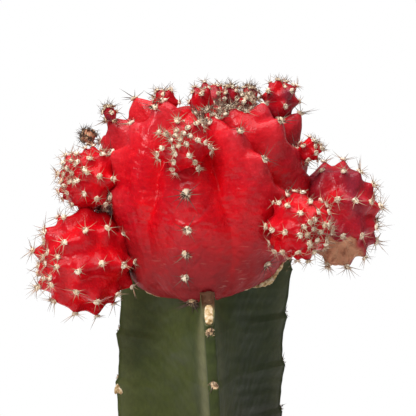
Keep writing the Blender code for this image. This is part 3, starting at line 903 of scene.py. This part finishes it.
def offset_skin(name):
    """A function from local directions to an offset's points in the frame, fitted to its node."""
    azimuth, elevation = OFFSETS[name][:2]
    pole = toward(azimuth, elevation)
    side, lift = axes_of(pole)
    axes = np.stack((side, lift, pole))
    low, high = (np.array(corner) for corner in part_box("offset_" + name))
    bm = bmesh.new()
    bmesh.ops.create_uvsphere(bm, u_segments=48, v_segments=30, radius=1)
    sample = unit(np.array([v.co for v in bm.verts]))
    bm.free()
    rough = offset_shape(name, sample)[0] @ axes
    size = np.median((high - low) / (rough.max(axis=0) - rough.min(axis=0)))
    centre = (low + high) / 2 - size * (rough.max(axis=0) + rough.min(axis=0)) / 2

    def skin(local):
        shape, values = offset_shape(name, local)
        directions = unit(shape @ axes)

        def angle_to(azimuth, elevation):
            return np.degrees(np.arccos(np.clip(directions @ toward(azimuth, elevation), -1, 1)))

        for azimuth, elevation, height, width in LOBES.get(name, ()):
            shape = shape * (1 + height * np.exp(-1.4 * (angle_to(azimuth, elevation) / width) ** 2))[:, None]
        if name in SCARS:
            azimuth, elevation, width = SCARS[name]
            angle = angle_to(azimuth, elevation) + 0.22 * width * ripple(directions, 0.5, 12)
            scar = smoothstep(width, 0.85 * width, angle)
            values["dry"] = np.maximum(values["dry"], scar)
            rim = np.exp(-(((angle - width) / (0.1 * width)) ** 2))
            shape = shape * (1 - 0.05 * scar + 0.03 * rim + 0.02 * scar * ripple(directions, 0.25, 13))[:, None]
        return centre + shape @ axes * size, values

    return skin, pole, size


# ---------------------------------------------------------------- rootstock
def wing_half(height, wing, share):
    """Distance out and half thickness of a wing, in mm, by share from valley 0 to tip 1."""
    below = (STOCK_TOP - height) / AREOLE_PITCH + WING_PHASES[wing]
    step = below % 1
    saw = np.where(step > 0.14, 0.6 - 1.25 * step, -0.65 + 8.9 * step)
    rise = np.clip((height - STOCK_TOP + 22 * MM) / (22 * MM), 0, 1)
    tip = WING_RADII[wing] + saw + WING_FLARES[wing] * rise**2
    blade = tip - 0.9 * WING_EDGE
    body = np.clip(share / BLADE_SHARE, 0, 1)
    out = VALLEY_RADIUS + body * (blade - VALLEY_RADIUS)
    half = WING_EDGE + WING_ROOT * (1 - body) ** 1.84 + 1.6 * (1 - np.exp((body - 1) / 0.15))
    if wing == 0:
        thin = smoothstep(STOCK_TOP - 18 * MM, STOCK_TOP - 7 * MM, height) * smoothstep(0.15, 0.6, body)
        half = half + (WING_EDGE - half) * 0.8 * thin
    half = np.where(share == 0, out * np.tan(np.radians(60)), half)
    cap = np.clip((share - BLADE_SHARE) / (1 - BLADE_SHARE), 0, 1) * np.pi / 2
    out = np.where(share > BLADE_SHARE, blade + 0.75 * WING_EDGE * np.sin(cap), out)
    return out, np.where(share > BLADE_SHARE, WING_EDGE * np.cos(cap) ** 0.6, half)


def wing_axes(height, wing):
    """Directions out along a wing and across it, level, at a height."""
    turn = np.radians(WING_AZIMUTHS[wing] + WING_TWIST * (STOCK_TOP - height))
    return np.array((np.sin(turn), -np.cos(turn))), np.array((np.cos(turn), np.sin(turn)))


def shoulder_limit(wing, reach):
    """Height of the cut at the top of a wing, by distance out in mm."""
    start, inner, edge_drop = SHOULDERS[wing]
    slope = (edge_drop - inner) / (WING_RADII[wing] - start)
    return STOCK_TOP - (inner + slope * np.maximum(reach - start, 0)) * MM


def stock_points(heights, shares):
    """Rings of the stock's skin: points, how much painted flank highlight or pale cut face each place has, and
    how cut it is.
    """
    points = []
    flank_highlights_and_cut_faces = []
    cuts = []
    both = np.concatenate((shares, shares[-2:0:-1]))
    left = np.arange(len(both)) < len(shares)
    depth = 1 - np.clip(both / BLADE_SHARE, 0, 1)
    # Painted highlight on each wing's flank near its edge, strongest on the front wing's lit left side; cut
    # faces are pale
    highlight_band = np.exp(-(((depth - 0.09) / 0.17) ** 2)) * smoothstep(0.86, 0.76, both)
    for height in heights:
        for wing in range(3):
            reach = wing_half(height, wing, both)[0]
            level = np.where(reach > HIDDEN_REACH, np.minimum(height, shoulder_limit(wing, reach)), height)
            out, across = wing_axes(level, wing)
            reach, half = wing_half(level, wing, both)
            flat = (out * reach + across * np.where(left, -half, half)).T * MM
            points.append(np.column_stack((flat, level)))
            cut = level < height
            flank_highlights_and_cut_faces.append(np.maximum(highlight_band * (np.where(left, 0.55, 0.1) if wing == 0 else 0.12), 0.7 * cut))
            cuts.append(cut * smoothstep(STOCK_TOP - 9.4 * MM, STOCK_TOP - 8 * MM, level))
    return np.concatenate(points), {"flank": np.concatenate(flank_highlights_and_cut_faces), "cut": np.concatenate(cuts)}


# ---------------------------------------------------------------- areoles
def areole_frames(skin, local, tips_toward):
    """Places of areoles with their outward and upward directions."""
    first = unit(np.cross(local, (0.3, 0.5, 0.81)))
    second = np.cross(local, first)
    step = 0.05
    here = skin(local)[0]
    one = skin(unit(local + step * first))[0] - skin(unit(local - step * first))[0]
    two = skin(unit(local + step * second))[0] - skin(unit(local - step * second))[0]
    outward = unit(np.cross(one, two))
    centre = skin(np.concatenate((local, -local)))[0].mean(axis=0)
    outward *= np.sign(((here - centre) * outward).sum(axis=1, keepdims=True))
    upward = unit(tips_toward - outward * (outward @ tips_toward)[:, None])
    return here, outward, upward


def areole_points(name, groups):
    """One mesh of points from groups of areoles, with what grows on each as attributes."""
    joined = {key: np.concatenate([group[key] for group in groups]) for key in groups[0]}
    points = joined.pop("place")
    return mesh_object(name, points, [], joined)


def areole_group(frames, size, reach, richness, arc, age):
    """What grows on a group of areoles; each value is one for all of them or one for each."""
    place, outward, upward = frames
    values = {"size": size, "reach": reach, "richness": richness, "arc": arc, "age": age}
    values = {key: np.broadcast_to(np.asarray(value, float), len(place)) for key, value in values.items()}
    return {"place": place, "outward": outward, "upward": upward, **values}


def head_areoles():
    """Areoles on the head's tubercles, and the crowded young ones on its growing points."""
    table = np.array(HEAD_TUBERCLES)
    local = toward(table[:, 0], table[:, 1] - 0.2)
    frames = areole_frames(head_skin, local, np.array((0, 0, 1.0)))
    first = np.where(np.arange(len(table)) == 0, 1.3, 1.0)
    hanging = table[:, 1] == HANGING_ELEVATION
    groups = [
        areole_group(
            frames, 1.1 * first + 0.3 * hanging, first + 0.2 * hanging, first + 2 * hanging, 4.9,
            0.3 + 0.7 * hanging,
        )
    ]
    for azimuth, elevation, count in HEAD_CROWNS:
        pole = toward(azimuth, elevation)
        side, lift = axes_of(pole)
        k = np.arange(count)
        turn, away = np.radians(GOLDEN_TURN * k), np.radians(2.3 * np.sqrt(k + 0.3))
        local = (
            pole * np.cos(away)[:, None]
            + (side * np.cos(turn)[:, None] + lift * np.sin(turn)[:, None]) * np.sin(away)[:, None]
        )
        groups.append(areole_group(areole_frames(head_skin, local, pole), 0.72, 0.95, 1.5, 6.28, 0.15))
    return groups


def offset_areoles(name):
    """Areoles in rows on an offset's ribs, smaller and denser towards its tip."""
    skin, pole, size = offset_skin(name)
    local, youth = offset_tips(name)
    width = np.clip(0.5 + 25 * size, 0.55, 0.85) * (1 - 0.15 * youth)
    reach = np.clip(0.25 + 48 * size, 0.5, 0.95) * (1 + 0.15 * youth)
    frames = areole_frames(skin, local, pole)
    return areole_group(frames, width, reach, 1 + 0.3 * youth, 6.28, OLD_WOOL.get(name, YOUNG_WOOL))


def stock_areoles():
    """Woolly areoles in the notches of the wings' edges."""
    groups = []
    for wing, phase in enumerate(WING_PHASES):
        for k in range(1, 7):
            height = STOCK_TOP - (k - phase + 1 + 0.06) * AREOLE_PITCH
            if height < SOIL_HIGH[2] + 4 * MM:
                continue
            out = wing_axes(height, wing)[0]
            reach = float(wing_half(height, wing, np.array(1.0))[0])
            frames = [np.array([row]) for row in ((*(out * reach * MM), height), (*out, 0.15), (0, 0, 1.0))]
            groups.append(areole_group(frames, 1.45, 0.5, 1, 6.28, 1.0))
    return groups


# ---------------------------------------------------------------- settings
def colour(name, description, hex_colour):
    return bpy.props.FloatVectorProperty(
        name=name, description=description, default=linear(hex_colour)[:3], size=3, subtype="COLOR",
        min=0, max=1,
    )


def length(name, description, metres):
    return bpy.props.FloatProperty(
        name=name, description=description, default=metres, min=0, unit="LENGTH", subtype="DISTANCE",
        precision=5,
    )


class MoonColours(bpy.types.PropertyGroup):
    flesh_face: colour("Flesh", "Faces of the red ribs", "#BC0613")
    flesh_furrow: colour("Furrows", "Flesh down in the furrows", "#CE0510")
    flesh_deep: colour("Deep flesh", "Darker clouds in the flesh", "#A00A1A")
    # Colour of the painted highlight on the crests
    flesh_highlight: colour("Bloom", "Pale wax on the crests", "#D8505A")
    # Old flesh near the graft, darkened as painted shade on undersides
    flesh_low_aged_and_shaded: colour("Lower flesh", "Old flesh near the graft", "#821D20")
    flesh_dark: colour("Dark flesh", "Flesh of the darkest offsets", "#7E2230")
    dried: colour("Dried flesh", "Flesh that has died and dried", "#C68E6E")
    dried_dark: colour("Dark dried flesh", "Brown flecks in dried flesh", "#84503C")
    scratch: colour("Scratches", "Pale scratches and scars", "#C98A7C")
    stem_green: colour("Stem", "Green of the rootstock", "#2A3416")
    stem_olive: colour("Stem, olive", "Olive patches of the rootstock", "#41481F")
    # Colour of the painted highlight on the wings' flanks
    stem_flank_highlight: colour("Stem flank", "Pale flank beside a wing's edge", "#7C7A56")
    cork: colour("Cork", "Dried callus and cork", "#BA9A68")
    cork_dark: colour("Dark cork", "Old brown callus", "#4E3322")
    wool: colour("Wool", "Fresh areole wool", "#F2E6D0")
    wool_old: colour("Old wool", "Old areole wool", "#C4A27C")
    spine_base: colour("Spine", "Lower part of a spine", "#CBA789")
    spine_tip: colour("Spine tip", "Tip of a spine", "#4E3A32")
    clay: colour("Clay", "Fired clay of the pot", "#BE6E4B")
    clay_dark: colour("Dark clay", "Damp patches of the clay", "#A45A3C")
    clay_bloom: colour("Clay bloom", "Mineral bloom on the clay", "#CF9479")
    soil: colour("Soil", "Potting soil", "#3E2D22")
    soil_dark: colour("Dark soil", "Wet peat", "#241912")
    bark: colour("Bark", "Bark chips in the soil", "#6E4F38")
    perlite: colour("Perlite", "White grit in the soil", "#E4E0D8")


class MoonSizes(bpy.types.PropertyGroup):
    spine_length: length("Spine length", "Length of a spine on the head", 4.4 * MM)
    spine_radius: length("Spine radius", "Radius of a spine at its base", 0.115 * MM)
    pad_radius: length("Areole radius", "Radius of a woolly areole on the head", 0.95 * MM)
    wool_length: length("Wool length", "Length of the wool", 0.8 * MM)
    skin_cell: length("Skin dimple", "Size of the dimples in the skin", 0.55 * MM)
    crumb: length("Crumb", "Largest crumb of soil", 1.6 * MM)
    clay_wall: length("Turning ridge", "Height of the ridges that turning leaves in the clay", 0.08 * MM)


class MoonStage(bpy.types.PropertyGroup):
    distance: length("Distance", "From the camera to the head", 430 * MM)
    view_width: length("View width", "Width of the view at the head", 110 * MM)
    floor_radius: length("Floor radius", "Radius of the round floor", 450 * MM)
    elevation: bpy.props.FloatProperty(
        name="Elevation", description="Camera's angle above the horizon", default=np.radians(4),
        subtype="ANGLE",
    )
    key_power: bpy.props.FloatProperty(
        name="Key light", description="Power of the main soft light", default=6.6, unit="POWER", min=0
    )
    top_power: bpy.props.FloatProperty(
        name="Top light", description="Power of the light overhead", default=10.9, unit="POWER", min=0
    )
    room: bpy.props.FloatProperty(
        name="Room light", description="Strength of the light all round", default=0.26, min=0
    )


# ---------------------------------------------------------------- operators
class MOON_OT_pot(bpy.types.Operator):
    """Turn the terracotta pot"""

    bl_idname = "moon.pot"
    bl_label = "Pot"

    def execute(self, context):
        sizes = context.scene.moon_sizes
        profile = pot_outline()
        turn = 2 * np.pi * np.arange(RING) / RING
        points = np.stack(
            (
                profile[:, :1] * np.cos(turn), profile[:, :1] * np.sin(turn),
                np.repeat(profile[:, 1:], RING, axis=1),
            ),
            axis=2,
        ).reshape(-1, 3)
        heights = points[:, 2] / MM
        ridges = 0.5 * np.sin(2 * np.pi * heights / 1.7)
        ridges += ripple(np.column_stack((heights, 0 * heights, 0 * heights)), 5, 4)
        wall = (heights > 3) & (heights < 82)
        push = sizes.clay_wall * np.where(wall, ridges, 0) + 0.1 * MM * ripple(points / MM, 22, 5)
        flat = unit(np.column_stack((points[:, :2], 0 * heights)))
        points = points + flat * np.minimum(push, 0.15 * MM)[:, None]
        faces = lofted_faces(len(profile), RING, closed_ends=False)
        last = (len(profile) - 1) * RING
        faces += [(last + i, last + (i + 1) % RING, (i + 1) % RING, i) for i in range(RING)]
        pot = mesh_object("pot_clay", points, faces, material=terracotta_material(context.scene.moon_colours))
        outward_faces(pot)
        keep(pot, "terracotta", "pot")
        return {"FINISHED"}


class MOON_OT_graft(bpy.types.Operator):
    """Grow the cork and dried callus round the graft"""

    bl_idname = "moon.graft"
    bl_label = "Graft"

    def execute(self, context):
        colours = context.scene.moon_colours
        cork = cork_material("dried_plant_cork", colours, 0.0)
        brown = cork_material("old_brown_callus", colours, 0.3)
        out = wing_axes(STOCK_TOP - 12 * MM, 0)[0]
        for name, (reaches, widths, dark, lumps, seed) in GRAFT_CRUSTS.items():
            path = [(*(out * s * MM), shoulder_limit(0, s)) for s in reaches]
            heights = np.full(len(widths), 1.2 * MM)
            surface = brown if dark else cork
            widths = np.array(widths) * MM
            made = crust(name, path, widths, heights, (*(out * 0.76), 0.65), seed, surface, lumps)
            keep(made, "rootstock_skin")
        for name, (places, widths, seed) in GRAFT_LIPS.items():
            path = head_skin(toward(*np.array(places, float).T))[0]
            widths = np.array(widths) * MM
            keep(crust(name, path, widths, 0.7 * widths, (0, 0, -1), seed, cork), "rootstock_skin")
        height = STOCK_TOP - CHIP_DEPTH * MM
        out, across = wing_axes(height, 2)
        tip = float(wing_half(height, 2, np.array(1.0))[0])
        path = [
            (*((out * (tip - back) + across * side) * MM), height + rise * MM) for back, side, rise in CHIP_PATH
        ]
        chip = crust(
            "edge_chip", path, np.array((3.4, 3.0, 1.9, 0.7)) * MM, np.array((1.0, 1.0, 0.9, 0.7)) * MM,
            (*across, 0), 61, cork, 0.12,
        )
        keep(chip, "rootstock_skin")
        return {"FINISHED"}


class MOON_OT_soil(bpy.types.Operator):
    """Fill the pot with soil and strew crumbs on it"""

    bl_idname = "moon.soil"
    bl_label = "Soil"

    def execute(self, context):
        colours = context.scene.moon_colours
        sizes = context.scene.moon_sizes
        radius = SOIL_HIGH[0] - 0.2 * MM
        rings = 60
        reach = np.repeat(np.linspace(0.02, 1, rings), RING)
        turn = np.tile(2 * np.pi * np.arange(RING) / RING, rings)
        flat = np.column_stack((reach * np.cos(turn), reach * np.sin(turn))) * radius
        top = SOIL_HIGH[2] - SOIL_MOUND * MM
        places = np.column_stack((flat, 0 * reach)) / MM
        level = top + SOIL_MOUND * MM * (1 - reach) + 0.5 * MM * ripple(places, 11, 8)
        level += 0.25 * MM * ripple(places, 2.6, 9)
        points = np.column_stack((flat, level))
        floor_ring = points[-RING:].copy()
        floor_ring[:, :2] *= 0.68
        floor_ring[:, 2] = SOIL_LOW[2]
        points = np.concatenate((points, floor_ring))
        peat = soil_material(colours, "peat_potting_mix", False)
        bed = mesh_object("soil_bed", points, lofted_faces(rings + 1, RING), {"tone": 0 * points[:, 0]}, peat)
        keep(bed, "potting_soil", "soil")
        tree = crumb_tree()
        dark = lump_pattern("crumb_pattern", 21)
        chip = lump_pattern("chip_pattern", 33, flatness=0.35)
        ground = mesh_object("ground", points[: rings * RING], lofted_faces(rings, RING, False))
        for name, pattern, density, low, high, pale, seed in (
            ("soil_crumbs", dark, 2.6e5, 0.25, 0.6, False, 5),
            ("soil_bark_chips", chip, 3.2e4, 0.5, 1.3, False, 7),
            ("soil_perlite", dark, 1.1e4, 0.3, 0.8, True, 9),
        ):
            material = soil_material(colours, name + "_grain", pale)
            crumbs = grown_piece(
                name, ground, tree,
                {"Pattern": pattern, "Material": material, "Density": density, "Small": low * sizes.crumb,
                 "Large": high * sizes.crumb, "Seed": seed},
            )
            keep(crumbs, "potting_soil")
        remove(dark, chip, ground)
        return {"FINISHED"}


class MOON_OT_rootstock(bpy.types.Operator):
    """Grow the winged rootstock"""

    bl_idname = "moon.rootstock"
    bl_label = "Rootstock"

    def execute(self, context):
        heights = np.linspace(STOCK_BOTTOM, STOCK_TOP, 400)
        shares = np.concatenate((np.linspace(0, BLADE_SHARE, 27), np.linspace(BLADE_SHARE, 1, 9)[1:]))
        points, attributes = stock_points(heights, shares)
        count = len(points) // len(heights)
        wobble = 0.28 * MM * ripple(points / MM, 13, 31) + 0.06 * MM * ripple(points / MM, 3, 32)
        centre = np.column_stack((points[:, :2], 0 * points[:, 2]))
        points = points + unit(centre) * wobble[:, None]
        stem = mesh_object(
            "rootstock_stem", points, lofted_faces(len(heights), count), attributes,
            stem_material(context.scene.moon_colours),
        )
        bm = bmesh.new()
        bm.from_mesh(stem.data)
        bmesh.ops.triangulate(bm, faces=[face for face in bm.faces if len(face.verts) > 4])
        bmesh.ops.remove_doubles(bm, verts=bm.verts, dist=0.004 * MM)
        bmesh.ops.dissolve_degenerate(bm, edges=bm.edges, dist=0.001 * MM)
        bm.to_mesh(stem.data)
        bm.free()
        outward_faces(stem)
        keep(stem, "rootstock_skin", "rootstock")
        return {"FINISHED"}


class MOON_OT_scion(bpy.types.Operator):
    """Grow the red head"""

    bl_idname = "moon.scion"
    bl_label = "Scion"

    def execute(self, context):
        material = flesh_material(context.scene.moon_sizes, context.scene.moon_colours)
        head = globe_object("scion_head", 384, head_skin, material)
        keep(head, "scion_skin", "scion")
        return {"FINISHED"}


class MOON_OT_offsets(bpy.types.Operator):
    """Grow the offsets on the head"""

    bl_idname = "moon.offsets"
    bl_label = "Offsets"

    def execute(self, context):
        material = flesh_material(
            context.scene.moon_sizes, context.scene.moon_colours, "waxy_offset_flesh"
        )
        for name, spec in OFFSETS.items():
            body = globe_object("offset_" + name + "_body", spec[6], offset_skin(name)[0], material)
            keep(body, "dried_skin" if name == "dried" else "offset_skin", "offset_" + name)
        return {"FINISHED"}


class MOON_OT_areoles(bpy.types.Operator):
    """Grow the wool and the spines on every areole"""

    bl_idname = "moon.areoles"
    bl_label = "Areoles"

    def execute(self, context):
        sizes = context.scene.moon_sizes
        wool = wool_material(context.scene.moon_colours)
        horn = spine_material(context.scene.moon_colours)
        tree = growth_tree()
        pad = lump_pattern("pad_pattern", 3, flatness=0.5)
        hair = thorn_pattern("hair_pattern", 3, 2, 2.0)
        thorn = thorn_pattern("spine_pattern", 4, 3, 4.0)
        names = list(OFFSETS)
        for where, slot, groups, hairs, spines, darker in (
            ("head", "scion_skin", head_areoles(), 42.0, 8.0, 0.5),
            ("stock", "rootstock_skin", stock_areoles(), 42.0, 2.0, 0.2),
            ("side_offset", "offset_skin", [offset_areoles(name) for name in names[:5]], 22.0, 7.0, 0.15),
            ("top_offset", "offset_skin", [offset_areoles(name) for name in names[5:]], 18.0, 6.0, 0.3),
        ):
            base = areole_points("areoles", groups)
            for name, pattern, material, values in (
                ("areole_pads", pad, wool,
                 {"Count": 1.0, "Radius": 0.9 * sizes.pad_radius, "Length": sizes.pad_radius, "Tilt low": 0.0,
                  "Tilt high": 8.0, "Uneven": 0.1, "Seed": 1}),
                ("areole_wool", hair, wool,
                 {"Count": hairs, "Radius": 0.085 * MM, "Length": sizes.wool_length, "Tilt low": 5.0,
                  "Tilt high": 80.0, "Spread": 0.95 * sizes.pad_radius, "Lift": 0.15 * sizes.pad_radius,
                  "Uneven": 0.6, "Seed": 2}),
                ("areole_spines", thorn, horn,
                 {"Count": spines, "Radius": sizes.spine_radius, "Length": sizes.spine_length,
                  "Tilt low": 42.0, "Tilt high": 84.0, "Spread": 0.4 * sizes.pad_radius,
                  "Lift": 0.2 * sizes.pad_radius, "Uneven": 0.5, "Darker": darker, "Seed": 3}),
            ):
                grown = grown_piece(
                    where + "_" + name, base, tree, {"Pattern": pattern, "Material": material, **values}
                )
                keep(grown, slot)
            remove(base)
        remove(pad, hair, thorn)
        return {"FINISHED"}


class MOON_OT_stage(bpy.types.Operator):
    """Set the floor, the lights and the camera"""

    bl_idname = "moon.stage"
    bl_label = "Stage"

    def execute(self, context):
        stage = context.scene.moon_stage
        turn = 2 * np.pi * np.arange(128) / 128
        rim = np.column_stack((np.cos(turn), np.sin(turn), 0 * turn)) * stage.floor_radius
        rim[:, 2] = POT_LOW[2] - 0.2 * MM
        floor = mesh_object("studio_floor", rim, [tuple(range(128))], material=floor_material())
        target = Vector(HEAD_CENTRE) + Vector((0.3 * MM, 0, -2.1 * MM))
        for name, place, size, power in (
            ("top_softbox", (-0.1, -0.15, 0.75), 0.9, stage.top_power),
            ("key_softbox", (-0.5, -0.7, 0.62), 0.32, stage.key_power),
        ):
            light = bpy.data.lights.new(name, "AREA")
            light.size = size
            light.energy = power
            lamp = bpy.data.objects.new(name, light)
            lamp.location = target + Vector(place)
            lamp.rotation_euler = (target - lamp.location).to_track_quat("-Z", "Y").to_euler()
            context.scene.collection.objects.link(lamp)
        self.light_room(context.scene, stage.room)
        camera = bpy.data.cameras.new("camera")
        camera.lens = camera.sensor_width * stage.distance / stage.view_width
        camera.clip_start = 0.01
        seat = bpy.data.objects.new("camera", camera)
        tilt = stage.elevation
        seat.location = target + Vector((0, -np.cos(tilt), np.sin(tilt))) * stage.distance
        seat.rotation_euler = (np.pi / 2 - tilt, 0, 0)
        context.scene.collection.objects.link(seat)
        context.scene.camera = seat
        context.scene.view_settings.view_transform = "Standard"
        return {"FINISHED"}

    def light_room(self, scene, strength):
        """A white room: seen as white, and dimmer as a light than it looks."""
        world = bpy.data.worlds.new("white_room")
        world.use_nodes = True
        tree = world.node_tree
        path = add(tree, "ShaderNodeLightPath").outputs["Is Camera Ray"]
        level = add(tree, "ShaderNodeMix", {0: path, 2: strength, 3: 1.0}).outputs[0]
        tree.links.new(level, tree.nodes["Background"].inputs["Strength"])
        tree.nodes["Background"].inputs["Color"].default_value = rgba(1.0)
        scene.world = world


class MOON_PT_panel(bpy.types.Panel):
    """Moon cactus pieces"""

    bl_idname = "MOON_PT_panel"
    bl_label = "Moon cactus"
    bl_space_type = "VIEW_3D"
    bl_region_type = "UI"
    bl_category = "Moon cactus"

    def draw(self, context):
        for operator in PIECES:
            self.layout.operator(operator.bl_idname)
        for group in ("moon_sizes", "moon_colours", "moon_stage"):
            settings = getattr(context.scene, group)
            for name in settings.__annotations__:
                self.layout.prop(settings, name)


GROUPS = {"moon_colours": MoonColours, "moon_sizes": MoonSizes, "moon_stage": MoonStage}
PIECES = (
    MOON_OT_pot, MOON_OT_soil, MOON_OT_rootstock, MOON_OT_graft, MOON_OT_scion, MOON_OT_offsets,
    MOON_OT_areoles, MOON_OT_stage,
)


def register():
    for cls in (*GROUPS.values(), *PIECES, MOON_PT_panel):
        bpy.utils.register_class(cls)
    for name, cls in GROUPS.items():
        setattr(bpy.types.Scene, name, bpy.props.PointerProperty(type=cls))


def unregister():
    for name in GROUPS:
        delattr(bpy.types.Scene, name)
    for cls in (MOON_PT_panel, *reversed(PIECES), *GROUPS.values()):
        bpy.utils.unregister_class(cls)


def main():
    register()
    for operator in PIECES:
        getattr(bpy.ops.moon, operator.bl_idname.split(".")[1])()


if __name__ == "__main__":
    main()
